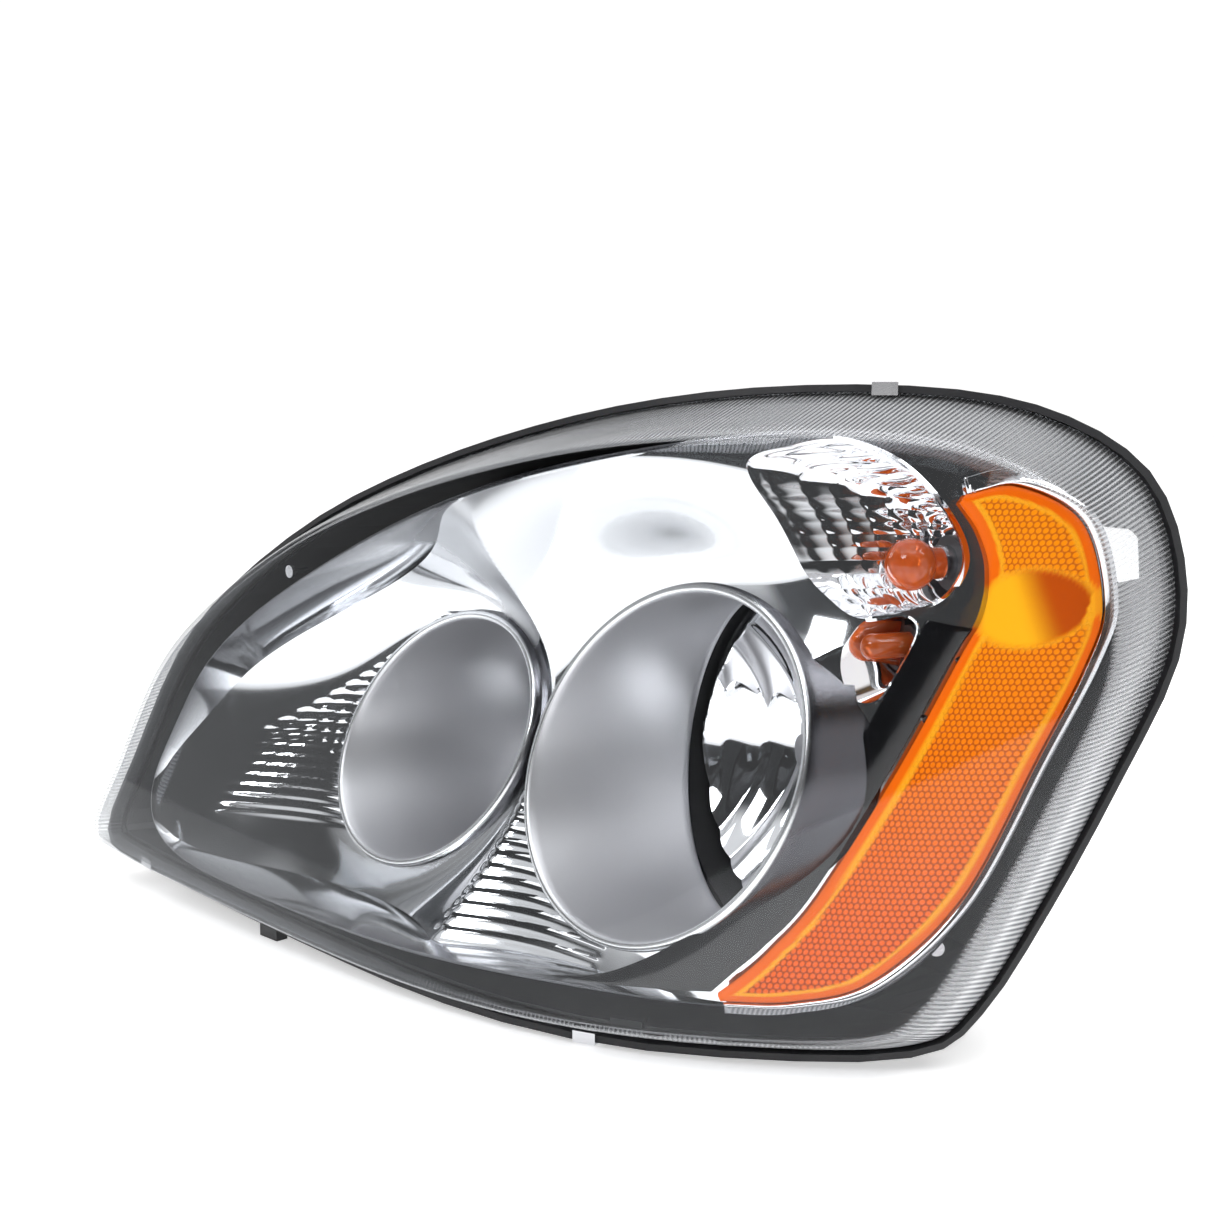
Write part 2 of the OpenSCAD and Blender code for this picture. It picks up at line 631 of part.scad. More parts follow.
outer_lens();
lens_seal();
lens_clips();
housing();
cap_collars();
mounting_ears();
mount_inserts();
rest_feet();
bezel();
bezel_screws();
low_beam_barrel();
high_beam_barrel();
low_beam_reflector();
high_beam_reflector();
reflector_carrier();
low_bulb_glass();
low_bulb_base();
low_bulb_shield();
high_bulb_glass();
high_bulb_base();
high_bulb_shield();
turn_reflector();
turn_bulb_glass();
turn_bulb_base();
turn_socket();
turn_socket_seal();
marker_reflector();
marker_bulb_glass();
marker_socket();
marker_socket_seal();
amber_reflector();
reflector_pegs();
black_trim();
chrome_trim();
pivot_studs();
adjuster_rod();
adjuster_knob();
adjuster_bushing();
low_cap();
low_cap_seal();
high_cap();
high_cap_seal();
vent_caps();
connector_inlet();
connector_pins();
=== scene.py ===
import math
import bpy
import numpy as np
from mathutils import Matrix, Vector


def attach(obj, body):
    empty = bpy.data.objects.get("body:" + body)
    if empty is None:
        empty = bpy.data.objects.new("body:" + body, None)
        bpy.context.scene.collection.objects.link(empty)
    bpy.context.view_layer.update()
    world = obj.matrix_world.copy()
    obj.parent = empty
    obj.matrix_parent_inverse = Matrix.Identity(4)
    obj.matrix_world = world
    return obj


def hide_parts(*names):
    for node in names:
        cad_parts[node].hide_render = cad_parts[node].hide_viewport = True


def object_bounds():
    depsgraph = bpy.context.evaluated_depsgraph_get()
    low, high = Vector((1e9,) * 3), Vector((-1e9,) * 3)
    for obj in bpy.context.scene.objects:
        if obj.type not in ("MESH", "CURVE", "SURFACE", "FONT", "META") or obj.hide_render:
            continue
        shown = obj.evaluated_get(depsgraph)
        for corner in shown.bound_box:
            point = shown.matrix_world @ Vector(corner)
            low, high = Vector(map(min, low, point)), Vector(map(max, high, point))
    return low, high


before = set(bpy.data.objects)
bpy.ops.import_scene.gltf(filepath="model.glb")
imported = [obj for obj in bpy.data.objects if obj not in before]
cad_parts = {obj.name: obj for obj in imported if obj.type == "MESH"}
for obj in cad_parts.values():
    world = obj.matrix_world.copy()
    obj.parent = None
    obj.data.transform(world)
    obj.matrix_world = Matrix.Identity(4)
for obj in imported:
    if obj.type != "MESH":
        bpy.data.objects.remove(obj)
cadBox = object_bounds()
print("frame loaded")

# the camera, in metres and degrees
camera = {"place": (0.9305, -0.3249, 0.3515), "turn": 69, "drop": 8, "lens": 50}
bpy.ops.object.select_all(action="DESELECT")
bpy.ops.object.camera_add(location=camera["place"],
                          rotation=(math.radians(90 - camera["drop"]), 0, math.radians(camera["turn"])))
eye = bpy.context.active_object
eye.data.lens = camera["lens"]
eye.data.sensor_width = 36
bpy.context.scene.camera = eye

# the sweep of the lens, in millimetres: heading along the arc length, seen from above
sweep = {"tip": (-256, -244), "arc": (0, 300, 430, 560, 700, 860), "heading": (22, 26, 37, 58, 71, 74),
         "level": 149, "rake": 0.25}
fineArc = np.linspace(-60, 920, 3921)  # every quarter millimetre
fineHeading = np.radians(np.interp(fineArc, (-60,) + sweep["arc"] + (920,),
                                   (21.2,) + sweep["heading"] + (74.8,)))
stepX = np.concatenate(([0], np.cumsum(0.25 * (np.cos(fineHeading[1:]) + np.cos(fineHeading[:-1])) / 2)))
stepY = np.concatenate(([0], np.cumsum(0.25 * (np.sin(fineHeading[1:]) + np.sin(fineHeading[:-1])) / 2)))
planX = stepX - np.interp(0, fineArc, stepX) + sweep["tip"][0]
planY = stepY - np.interp(0, fineArc, stepY) + sweep["tip"][1]


def behind(arc, height, depth):
    # a point so far behind the lens face
    turn = np.interp(arc, fineArc, fineHeading)
    x = np.interp(arc, fineArc, planX) - depth * np.sin(turn)
    y = np.interp(arc, fineArc, planY) + depth * np.cos(turn) + sweep["rake"] * (height - sweep["level"])
    return np.stack([x, y, height + 0 * x], axis=-1)


def arcAt(x, depth):
    # the arc length at which that depth has this x
    return np.interp(x, planX - depth * np.sin(fineHeading), fineArc)


def smooth(value):
    value = np.clip(value, 0, 1)
    return value * value * (3 - 2 * value)


def curveThrough(points, closed):
    # a Catmull-Rom curve as a function of 0 to 1, near even in length
    knots = np.array(points, float)
    if closed:
        knots = np.vstack([knots[-1:], knots, knots[:2]])
    else:
        knots = np.vstack([2 * knots[0] - knots[1], knots, 2 * knots[-1] - knots[-2]])
    t = np.linspace(0, 1, 25)[:-1, None]
    rows = []
    for a, b, c, d in zip(knots[:-3], knots[1:-2], knots[2:-1], knots[3:]):
        bent = (2 * a - 5 * b + 4 * c - d) * t ** 2 + (3 * b - a - 3 * c + d) * t ** 3
        rows.append(0.5 * (2 * b + (c - a) * t + bent))
    rows = np.vstack(rows + [knots[-2][None]])
    length = np.concatenate(([0], np.cumsum(np.linalg.norm(np.diff(rows, axis=0), axis=1))))
    length = length / length[-1]
    return lambda u: np.stack([np.interp(u, length, rows[:, 0]), np.interp(u, length, rows[:, 1])], axis=-1)


# outlines as points of arc length and height, in millimetres
outline = {
    "rim": [[0, 33], [14, 83], [42, 158], [90, 208], [170, 258], [258, 293], [345, 317], [430, 333],
            [515, 340], [600, 338], [660, 325], [708, 299], [736, 257], [746, 208], [732, 148], [712, 83],
            [690, 31], [660, 11], [560, 7], [420, 7], [290, 12], [150, 18], [40, 23]],
    "bezel": [[54, 75], [66, 117], [88, 160], [130, 197], [200, 237], [272, 269], [350, 293], [440, 311],
              [520, 320], [595, 316], [655, 296], [692, 265], [706, 218], [694, 163], [668, 88], [648, 55],
              [610, 34], [540, 32], [450, 33], [330, 30], [220, 30], [120, 34], [70, 48]],
    "middle": (370, 168)}
rimCurve = curveThrough(outline["rim"], True)
bezelCurve = curveThrough(outline["bezel"], True)


def deselect():
    if bpy.context.mode != "OBJECT":
        bpy.ops.object.mode_set(mode="OBJECT")
    bpy.ops.object.select_all(action="DESELECT")


def laySheet(name, across, down, place, merge=True):
    # a grid primitive, its corners laid where place(u, v) says, in millimetres
    deselect()
    bpy.ops.mesh.primitive_grid_add(x_subdivisions=across, y_subdivisions=down, size=2)
    piece = bpy.context.active_object
    piece.name = piece.data.name = name
    count = len(piece.data.vertices)
    flat = np.empty(count * 3)
    piece.data.vertices.foreach_get("co", flat)
    flat = flat.reshape(-1, 3)
    spot = place((flat[:, 0] + 1) / 2, (flat[:, 1] + 1) / 2)
    piece.data.vertices.foreach_set("co", (spot / 1000).ravel())
    piece.data.update()
    if merge:
        bpy.ops.object.mode_set(mode="EDIT")
        bpy.ops.mesh.select_all(action="SELECT")
        bpy.ops.mesh.remove_doubles(threshold=0.00001)
        bpy.ops.object.mode_set(mode="OBJECT")
    return piece


def places(piece):
    flat = np.empty(len(piece.data.vertices) * 3)
    piece.data.vertices.foreach_get("co", flat)
    return flat.reshape(-1, 3) * 1000


def movePlaces(piece, spots):
    piece.data.vertices.foreach_set("co", (spots / 1000).ravel())
    piece.data.update()


def keepMask(piece, name, values):
    layer = piece.data.attributes.new(name, "FLOAT", "POINT")
    layer.data.foreach_set("value", values.astype(float))


def cutFaces(piece, gone):
    # deletes the faces whose corners are all marked
    deselect()
    bpy.context.view_layer.objects.active = piece
    piece.select_set(True)
    for part in list(piece.data.polygons) + list(piece.data.edges) + list(piece.data.vertices):
        part.select = False
    for face in piece.data.polygons:
        face.select = all(gone[i] for i in face.vertices)
    bpy.ops.object.mode_set(mode="EDIT")
    bpy.context.tool_settings.mesh_select_mode = (False, False, True)
    bpy.ops.mesh.delete(type="FACE")
    bpy.ops.object.mode_set(mode="OBJECT")


def finishPiece(piece, finish, body, wall=0, offset=-1, bevel=0, angle=40):
    # thickness, bevel, smoothing, finish and the body it rides on
    deselect()
    piece.select_set(True)
    bpy.context.view_layer.objects.active = piece
    if wall:
        thick = piece.modifiers.new("wall", "SOLIDIFY")
        thick.thickness, thick.offset, thick.use_even_offset = wall / 1000, offset, False
        bpy.ops.object.modifier_apply(modifier=thick.name)
    if bevel:
        soft = piece.modifiers.new("edge", "BEVEL")
        soft.width, soft.segments = bevel / 1000, 2
        soft.limit_method, soft.angle_limit = "ANGLE", math.radians(50)
        bpy.ops.object.modifier_apply(modifier=soft.name)
    bpy.ops.object.shade_smooth_by_angle(angle=math.radians(angle))
    piece.data.materials.clear()
    piece.data.materials.append(finish)
    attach(piece, body)
    return piece


def lathe(name, x, z, profile, around=144):
    # a closed profile of (radius, y) turned about a line along Y
    ring = np.array(list(profile) + [profile[0]], float)
    length = np.concatenate(([0], np.cumsum(np.linalg.norm(np.diff(ring, axis=0), axis=1) + 0.001)))
    knots = np.arange(len(ring)) / (len(ring) - 1)

    def place(u, v):
        r, y = np.interp(v, knots, ring[:, 0]), np.interp(v, knots, ring[:, 1])
        return np.stack([x + r * np.cos(2 * np.pi * u), y, z + r * np.sin(2 * np.pi * u)], axis=-1)
    return laySheet(name, around, len(ring) - 1, place)


class Field:
    # a value in a material, for sums on Math nodes
    def __init__(self, tree, socket):
        self.tree, self.socket = tree, socket

    def join(self, other, kind, swapped=False):
        node = self.tree.nodes.new("ShaderNodeMath")
        node.operation = kind
        for place, part in enumerate((other, self) if swapped else (self, other)):
            if isinstance(part, Field):
                self.tree.links.new(part.socket, node.inputs[place])
            else:
                node.inputs[place].default_value = part
        return Field(self.tree, node.outputs[0])

    def __add__(self, other):
        return self.join(other, "ADD")

    def __radd__(self, other):
        return self.join(other, "ADD", True)

    def __sub__(self, other):
        return self.join(other, "SUBTRACT")

    def __rsub__(self, other):
        return self.join(other, "SUBTRACT", True)

    def __mul__(self, other):
        return self.join(other, "MULTIPLY")

    def __rmul__(self, other):
        return self.join(other, "MULTIPLY", True)

    def __truediv__(self, other):
        return self.join(other, "DIVIDE")

    def __pow__(self, other):
        return self.join(other, "POWER")


class Finish:
    # a material under construction
    def __init__(self, name):
        self.material = bpy.data.materials.new(name)
        self.material.use_nodes = True
        self.tree = self.material.node_tree
        self.tree.nodes.clear()
        self.output = self.tree.nodes.new("ShaderNodeOutputMaterial")

    def node(self, kind, settings=None, inputs=None, output=0):
        made = self.tree.nodes.new(kind)
        for key, value in (settings or {}).items():
            setattr(made, key, value)
        for key, value in (inputs or {}).items():
            if isinstance(value, Field):
                self.tree.links.new(value.socket, made.inputs[key])
            else:
                made.inputs[key].default_value = value
        return Field(self.tree, made.outputs[output])

    def between(self, value, low, high):
        # 0 below low, 1 above high
        return self.node("ShaderNodeMapRange", {"interpolation_type": "SMOOTHSTEP"},
                         {0: value, 1: low, 2: high})

    def blend(self, factor, first, second):
        return self.node("ShaderNodeMix", {"data_type": "RGBA"}, {0: factor, 6: first, 7: second}, 2)

    def mask(self, name):
        return self.node("ShaderNodeAttribute", {"attribute_name": name}, None, 2)

    def place(self):
        return self.node("ShaderNodeTexCoord", None, None, 3)

    def noise(self, scale, detail=2, stretch=(1, 1, 1)):
        where = self.node("ShaderNodeMapping", None, {0: self.place(), 3: stretch})
        return self.node("ShaderNodeTexNoise", None, {"Vector": where, "Scale": scale, "Detail": detail})

    def bump(self, height, strength, distance=0.001):
        return self.node("ShaderNodeBump", None,
                         {"Height": height, "Strength": strength, "Distance": distance})

    def end(self, shader):
        self.tree.links.new(shader.socket, self.output.inputs[0])
        return self.material


def shade(*rgb):
    return (*rgb, 1) if len(rgb) == 3 else (rgb[0], rgb[0], rgb[0], 1)


def plainPlastic(name, base, rough, grain=900, depth=0.15, coat=0.0):
    made = Finish(name)
    speck = made.noise(grain, 3)
    colour = made.blend(speck, shade(*[c * 0.8 for c in base]), shade(*[min(1, c * 1.2) for c in base]))
    return made.end(made.node("ShaderNodeBsdfPrincipled", None, {
        "Base Color": colour, "Roughness": made.noise(60) * 0.12 + (rough - 0.06), "Coat Weight": coat,
        "Normal": made.bump(speck, depth, 0.0003)}))


def brightMetal(name, base, rough, grain=(40, 40, 900), depth=0.05, swing=0.08):
    made = Finish(name)
    streak = made.noise(1, 3, grain)
    colour = made.blend(made.noise(25), shade(*[c * 0.93 for c in base]), shade(*base))
    return made.end(made.node("ShaderNodeBsdfPrincipled", None, {
        "Base Color": colour, "Metallic": 1.0, "Roughness": streak * swing + (rough - swing / 2),
        "Normal": made.bump(streak, depth, 0.0002)}))


def chromeWithSatin():
    made = Finish("metallised bezel")
    satin, fluteAndEdgeShade = made.mask("satin"), made.mask("shade")
    cloud = made.noise(9, 3)
    colour = made.blend(satin, shade(0.83, 0.84, 0.86), shade(0.72, 0.73, 0.75))
    # painted shade: the turned-back edge outside the face is coloured near black
    colour = made.blend(fluteAndEdgeShade, colour, shade(0.04, 0.04, 0.05))
    return made.end(made.node("ShaderNodeBsdfPrincipled", None, {
        "Base Color": colour, "Metallic": 1.0, "Roughness": satin * 0.3 + cloud * 0.05 + 0.045,
        "Normal": made.bump(made.noise(1400, 2), satin * 0.35 + 0.01, 0.0002)}))


def satinSilver():
    made = Finish("satin silver barrel")
    speck = made.noise(2600, 2)
    lip = made.mask("lip")
    outer = made.mask("outer")
    colour = made.blend(made.noise(14), shade(0.68, 0.68, 0.70), shade(0.76, 0.76, 0.78))
    # painted highlight: the rounded front lip is coloured lighter
    colour = made.blend(lip, colour, shade(0.88, 0.89, 0.90))
    # painted shade: the outer wall behind the lip is coloured near black
    colour = made.blend(outer, colour, shade(0.10, 0.10, 0.11))
    return made.end(made.node("ShaderNodeBsdfPrincipled", None, {
        "Base Color": colour, "Metallic": 0.9,
        "Roughness": (speck * 0.1 + 0.36) * (1 - lip * 0.55) * (1 - outer * 0.7),
        "Normal": made.bump(speck, 0.25, 0.0002)}))


def mirror(name, rough=0.03):
    made = Finish(name)
    haze = made.noise(18, 3)
    return made.end(made.node("ShaderNodeBsdfPrincipled", None, {
        "Base Color": made.blend(haze, shade(0.86, 0.87, 0.89), shade(0.92, 0.92, 0.94)), "Metallic": 1.0,
        "Roughness": haze * 0.03 + rough, "Normal": made.bump(haze, 0.05, 0.001)}))


def clearCover():
    # clear plastic: see-through with gloss, and fine upright ribs on the skirt outside the face
    made = Finish("clear lens")
    lensMap = made.node("ShaderNodeUVMap", {"uv_map": "UVMap"})
    around = made.node("ShaderNodeSeparateXYZ", None, {0: lensMap}, 0)
    inwards = made.node("ShaderNodeSeparateXYZ", None, {0: lensMap}, 1)
    skirt = made.between(inwards, 0.395, 0.36)
    rib = made.node("ShaderNodeMath", {"operation": "SINE"}, {0: around * (620 * 2 * math.pi)}) * 0.5 + 0.5
    worn = made.noise(5, 4)
    bend = made.bump(rib * skirt, 0.25, 0.0006)
    gloss = made.node("ShaderNodeBsdfPrincipled", None, {
        "Base Color": shade(0.9, 0.92, 0.95), "Metallic": 1.0, "Roughness": worn * 0.03 + 0.02,
        "Normal": bend})
    # painted shade and highlight: the ribs are coloured dark and light in turn
    frosted = made.node("ShaderNodeBsdfPrincipled", None, {
        "Base Color": made.blend(rib, shade(0.30, 0.31, 0.33), shade(0.78, 0.79, 0.81)),
        "Roughness": rib * 0.1 + 0.15, "Normal": bend})
    clear = made.node("ShaderNodeBsdfTransparent", None, {0: shade(0.985, 0.99, 0.995)})
    facing = made.node("ShaderNodeLayerWeight", None, {0: 0.5}, 1)
    glass = made.node("ShaderNodeMixShader", None, {0: facing ** 4 * 0.6 + 0.02, 1: clear, 2: gloss})
    # painted light: the low right-hand end of the skirt is paler
    toRight = made.between(made.node("ShaderNodeSeparateXYZ", None, {0: made.place()}, 0), 0.12, 0.2)
    low = made.between(made.node("ShaderNodeSeparateXYZ", None, {0: made.place()}, 2), 0.2, 0.13)
    pale = toRight * low * made.between(inwards, 0.27, 0.18)
    ribbed = skirt * (rib * 0.25 + 0.12 + pale * 0.55)
    return made.end(made.node("ShaderNodeMixShader", None, {0: ribbed, 1: glass, 2: frosted}))


def clearGlass(name, tint, depth):
    made = Finish(name)
    haze = made.noise(40)
    gloss = made.node("ShaderNodeBsdfPrincipled", None, {
        "Base Color": made.blend(haze, shade(*tint), shade(*[c * 0.9 for c in tint])),
        "Roughness": haze * 0.05 + 0.02, "Coat Weight": 1.0})
    clear = made.node("ShaderNodeBsdfTransparent", None, {0: shade(*[c ** 0.5 for c in tint])})
    edge = made.node("ShaderNodeLayerWeight", None, {0: 0.5}, 1) ** 3 * 0.7 + 0.03
    cover = edge * (1 - depth) + depth
    return made.end(made.node("ShaderNodeMixShader", None, {0: cover, 1: clear, 2: gloss}))


def amberPrism():
    # honeycomb of prisms in amber plastic, with a plain border and a plain window
    made = Finish("amber prisms")
    flat = made.node("ShaderNodeUVMap", {"uv_map": "flat"})
    x = made.node("ShaderNodeSeparateXYZ", None, {0: flat}, 0) * (1000 / 3.4)
    y = made.node("ShaderNodeSeparateXYZ", None, {0: flat}, 1) * (1000 / 3.4 / 1.732)

    def cell(dx, dy):
        # distance to the nearest middle of one of the two square sets
        fx = made.node("ShaderNodeMath", {"operation": "FRACT"}, {0: x + dx}) - 0.5
        fy = (made.node("ShaderNodeMath", {"operation": "FRACT"}, {0: y + dy}) - 0.5) * 1.732
        return (fx * fx + fy * fy) ** 0.5
    near = made.node("ShaderNodeMath", {"operation": "MINIMUM"}, {0: cell(100, 100), 1: cell(100.5, 100.5)})
    comb = made.between(near, 0.52, 0.30)
    plain = made.mask("plain")
    line = made.mask("line")
    comb = comb * (1 - plain)
    # painted light: the amber is coloured lighter towards the top
    high = made.node("ShaderNodeSeparateXYZ", None, {0: made.place()}, 2)
    lift = made.between(high, 0.05, 0.29)
    deep = made.blend(lift, shade(0.42, 0.045, 0.0), shade(0.66, 0.13, 0.0))
    pale = made.blend(lift, shade(0.86, 0.13, 0.0), shade(0.98, 0.30, 0.0))
    colour = made.blend(comb, deep, pale)
    colour = made.blend(plain, colour, shade(0.88, 0.14, 0.0))
    colour = made.blend(line, colour, shade(0.98, 0.40, 0.01))
    # painted light: the plain window is coloured bright towards its left and lower side
    window = made.mask("window")
    glow = made.mask("glow")
    colour = made.blend(window, colour, made.blend(glow, shade(0.50, 0.07, 0.0), shade(1.0, 0.46, 0.01)))
    return made.end(made.node("ShaderNodeBsdfPrincipled", None, {
        "Base Color": colour, "Roughness": 0.35, "Specular IOR Level": 0.12,
        "Coat Weight": 0.06, "Coat Roughness": 0.03,
        # painted light: the amber glows a little by itself
        "Emission Color": colour, "Emission Strength": 0.05,
        "Normal": made.bump(comb, 0.6, 0.0008)}))


paint = {
    "chrome": chromeWithSatin(), "satin": satinSilver(), "mirror": mirror("mirror reflector"),
    "clear": clearCover(), "amber": amberPrism(),
    "bulb": clearGlass("amber bulb glass", (0.80, 0.16, 0.03), 0.45),
    "white": clearGlass("clear bulb glass", (0.92, 0.94, 0.97), 0.08),
    "gloss": plainPlastic("gloss black band", (0.004, 0.004, 0.005), 0.12, 300, 0.01, 0.2),
    "black": plainPlastic("black housing", (0.018, 0.018, 0.02), 0.42, 1600, 0.3),
    "shadow": plainPlastic("dark inside", (0.008, 0.008, 0.009), 0.6, 500, 0.1),
    "rubber": plainPlastic("rubber seal", (0.02, 0.02, 0.02), 0.7, 1200, 0.3),
    "grey": plainPlastic("grey moulding", (0.06, 0.06, 0.065), 0.45, 1500, 0.25),
    "nylon": plainPlastic("natural nylon", (0.72, 0.71, 0.66), 0.4, 1200, 0.15),
    "silicone": plainPlastic("silicone gasket", (0.45, 0.12, 0.05), 0.5, 900, 0.1),
    "peg": plainPlastic("dark peg head", (0.02, 0.012, 0.01), 0.3, 900, 0.1),
    "steel": brightMetal("zinc-plated steel", (0.70, 0.70, 0.72), 0.24, (200, 200, 30)),
    "brass": brightMetal("turned brass", (0.83, 0.62, 0.27), 0.25, (60, 900, 60)),
    "base": plainPlastic("bulb base", (0.03, 0.03, 0.032), 0.35, 800, 0.15, 0.3)}
print("finishes made")

# the lens
lens = {"rimDepth": 44, "facePart": 0.88, "wall": 2.6, "rollRows": 14, "faceRows": 22}


def lensPlace(u, v):
    # v 0 at the rim, 1 at the middle; the edge rolls back to the rim
    rows = lens["rollRows"] + lens["faceRows"]
    roll = np.clip(1 - v * rows / lens["rollRows"], 0, 1)
    face = np.clip((v * rows - lens["rollRows"]) / lens["faceRows"], 0, 1)
    t = np.where(roll > 0, lens["facePart"] + (1 - lens["facePart"]) * roll, lens["facePart"] * (1 - face))
    flat = np.array(outline["middle"]) + (rimCurve(1 - u) - np.array(outline["middle"])) * t[:, None]
    spot = behind(flat[:, 0], flat[:, 1], lens["rimDepth"] * 1.15 * roll ** 2 / (roll + 0.15))
    spot[:, 0] = np.minimum(spot[:, 0], 1000 * cadBox[1][0] - 0.1)
    spot[:, 1] = np.maximum(spot[:, 1], 1000 * cadBox[0][1] + 0.1)
    return spot


outerLens = laySheet("outerLens", 420, lens["rollRows"] + lens["faceRows"], lensPlace)


def reachOf(arc, height, curve):
    # how far out towards a closed outline a point lies, 1 on the outline
    ring = curve(np.linspace(0, 1, 721)) - np.array(outline["middle"])
    angle = np.arctan2(ring[:, 1], ring[:, 0])
    order = np.argsort(angle)
    far = np.interp(np.arctan2(height - outline["middle"][1], arc - outline["middle"][0]), angle[order],
                    np.linalg.norm(ring, axis=1)[order], period=2 * np.pi)
    return np.hypot(arc - outline["middle"][0], height - outline["middle"][1]) / far


finishPiece(outerLens, paint["clear"], "shell", wall=lens["wall"])
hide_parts("outer_lens")
print("lens made")

# the round beams, the turn dish and the marker pocket, which cut holes in the bezel
low = {"x": 117, "z": 142, "r": 92, "front": 17, "slopeX": 0.38, "slopeZ": 0.34, "rear": 76, "tilt": 0.16,
       "focus": 30, "reach": 78, "wall": 2.6, "lip": 3.2}
high = {"x": -63, "z": 126, "r": 73, "front": -58, "slopeX": 0.44, "slopeZ": 0.45, "rear": 30, "tilt": 0,
        "focus": 25, "reach": 100, "wall": 2.6, "lip": 3.2}
turn = {"x": 201, "z": 255, "vertex": 152, "rings": 9, "row": 6.4, "puff": 1.2, "hole": 14.2,
        "outline": [[495, 305], [518, 314], [545, 317], [579, 305], [609, 280], [622, 258], [616, 240],
                    [600, 233], [574, 228], [548, 236], [522, 251], [508, 278]]}
marker = {"x": 199, "z": 214, "vertex": 126, "hole": 10.4,
          "outline": [[574, 225], [588, 229], [602, 229], [608, 222], [603, 203], [596, 188], [583, 189],
                      [573, 205]]}
bezel = {"depth": 32, "across": 640, "down": 170, "wall": 1.6, "drop": 30, "lipRows": 10,
         "fluteAndEdgeShade": 1.5, "fluteStep": 6.5}
baseX = planX - bezel["depth"] * np.sin(fineHeading)
baseY = planY + bezel["depth"] * np.cos(fineHeading)


def faceY(x, z):
    # the bezel's plain surface over a place in the front view
    return np.interp(x, baseX, baseY) + sweep["rake"] * (z - sweep["level"])


def ringY(beam, dx, dz):
    return beam["front"] + beam["slopeX"] * dx + beam["slopeZ"] * dz


def dip(beam, x, z):
    # how far the bezel sinks towards a beam's rim
    dx, dz = x - beam["x"], z - beam["z"]
    far = np.maximum(np.hypot(dx, dz), 1)
    outside = far - beam["r"]
    rim = ringY(beam, dx * beam["r"] / far, dz * beam["r"] / far)
    fall = 1 - smooth(outside / beam["reach"])
    edge = faceY(beam["x"] + dx * beam["r"] / far, beam["z"] + dz * beam["r"] / far)
    return np.maximum(0, rim + 1.5 - edge) * fall


def bezelY(x, z):
    return faceY(x, z) + np.maximum(dip(low, x, z), dip(high, x, z))


def reachRound(spot, points):
    # how far an outline on the bezel lies from a line along Y, by direction
    flat = curveThrough(points, True)(np.linspace(0, 1, 361))
    ring = behind(flat[:, 0], flat[:, 1], bezel["depth"])
    angle = np.arctan2(ring[:, 2] - spot["z"], ring[:, 0] - spot["x"])
    order = np.argsort(angle)
    far = np.hypot(ring[:, 2] - spot["z"], ring[:, 0] - spot["x"])
    return lambda here: np.interp(here, angle[order], far[order], period=2 * np.pi)


dishEdge = reachRound(turn, turn["outline"])
pocketEdge = reachRound(marker, marker["outline"])


def bezelPlace(u, v):
    # the first rows turn back behind the edge, the rest run to the middle
    rows = bezel["down"]
    lipRow = bezel["lipRows"]
    t = np.clip((v * rows - lipRow) / (rows - lipRow), 0, 1)
    turnBack = np.clip(1 - v * rows / lipRow, 0, 1)
    edge = bezelCurve(1 - u)
    flat = np.array(outline["middle"]) + (edge - np.array(outline["middle"])) * (1 - t)[:, None]
    spot = behind(flat[:, 0], flat[:, 1], bezel["depth"] + 0 * t)
    spot[:, 1] += np.maximum(dip(low, spot[:, 0], spot[:, 2]), dip(high, spot[:, 0], spot[:, 2]))
    outward = flat - np.array(outline["middle"])
    outward = outward / np.maximum(np.linalg.norm(outward, axis=1, keepdims=True), 1e-6)
    bend = np.minimum(turnBack * 2.5, 1) * np.pi / 2
    turned = flat + outward * 3 * np.sin(bend)[:, None]
    depth = bezel["depth"] + 3 * (1 - np.cos(bend)) + np.maximum(turnBack - 0.4, 0) / 0.6 * bezel["drop"]
    back = behind(turned[:, 0], turned[:, 1], depth)
    return np.where((turnBack > 0)[:, None], back, spot)


bezelPiece = laySheet("bezelFace", bezel["across"], bezel["down"], bezelPlace)
spots = places(bezelPiece)
gone = np.zeros(len(spots), bool)
snapped = spots.copy()
for beam in (low, high):
    dx, dz = spots[:, 0] - beam["x"], spots[:, 2] - beam["z"]
    far = np.hypot(dx, dz)
    inside = far < beam["r"] + 1.2
    gone |= inside
    near = inside & (far > beam["r"] - 7)
    scale = (beam["r"] + 1.2) / np.maximum(far, 1e-6)
    snapped[near, 0] = (beam["x"] + dx * scale)[near]
    snapped[near, 2] = (beam["z"] + dz * scale)[near]
dx, dz = spots[:, 0] - turn["x"], spots[:, 2] - turn["z"]
far, edgeFar = np.hypot(dx, dz), dishEdge(np.arctan2(dz, dx))
inside = (far < edgeFar) & ~gone
near = inside & (far > edgeFar - 7)
snapped[near, 0] = (turn["x"] + dx * edgeFar / np.maximum(far, 1e-6))[near]
snapped[near, 2] = (turn["z"] + dz * edgeFar / np.maximum(far, 1e-6))[near]
gone |= inside
dx, dz = spots[:, 0] - marker["x"], spots[:, 2] - marker["z"]
far, edgeFar = np.hypot(dx, dz), pocketEdge(np.arctan2(dz, dx))
inside = (far < edgeFar) & ~gone
near = inside & (far > edgeFar - 6)
snapped[near, 0] = (marker["x"] + dx * edgeFar / np.maximum(far, 1e-6))[near]
snapped[near, 2] = (marker["z"] + dz * edgeFar / np.maximum(far, 1e-6))[near]
gone |= inside
moved = np.any(snapped != spots, axis=1)
snapped[moved, 1] = bezelY(snapped[moved, 0], snapped[moved, 2])
